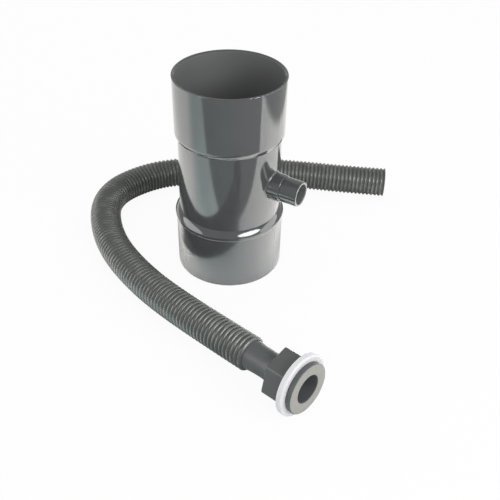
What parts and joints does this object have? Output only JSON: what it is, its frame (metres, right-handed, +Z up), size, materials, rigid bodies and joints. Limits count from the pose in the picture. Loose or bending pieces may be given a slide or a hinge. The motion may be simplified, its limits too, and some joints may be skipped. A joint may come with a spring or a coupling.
{
  "type": "rainwater diverter",
  "caption": "Rainwater diverter kit for a round downpipe: double-socket body with side spout and inner weir trough, corrugated hose, and flanged threaded tank connector with backnut.",
  "frame": {"origin": "centre of the lower socket's mouth, on the floor that the kit stands on", "axes": "+Z up along the downpipe, out of the upper socket; +X out along the side spout"},
  "size_m": [0.2409, 0.2658, 0.1431],
  "materials": {
    "body_plastic": "polished",
    "fitting_plastic": "satin",
    "washer_rubber": "matte",
    "hose_plastic": "satin"
  },
  "bodies": {
    "root": {"diverter_body": "body_plastic", "weir_insert": "body_plastic", "connector_body": "fitting_plastic", "corrugated_hose": "hose_plastic"},
    "washer": {"sealing_washer": "washer_rubber"},
    "nut": {"hex_nut": "fitting_plastic"}
  },
  "joints": [
    {"name": "washer_slide", "type": "slide", "parent": "root", "child": "washer", "axis": [-0.9761, 0.2057, -0.0698], "range_m": [0, 0.006]},
    {"name": "nut_turn", "type": "hinge", "parent": "washer", "child": "nut", "pos_m": [0.10259, -0.09955, 0.01924], "axis": [-0.9761, 0.2057, -0.0698], "range_deg": [0, 1080]}
  ],
  "couplings": [
    {"joint": "washer_slide", "follows": "nut_turn", "m_per_rad": 0.0003183}
  ]
}
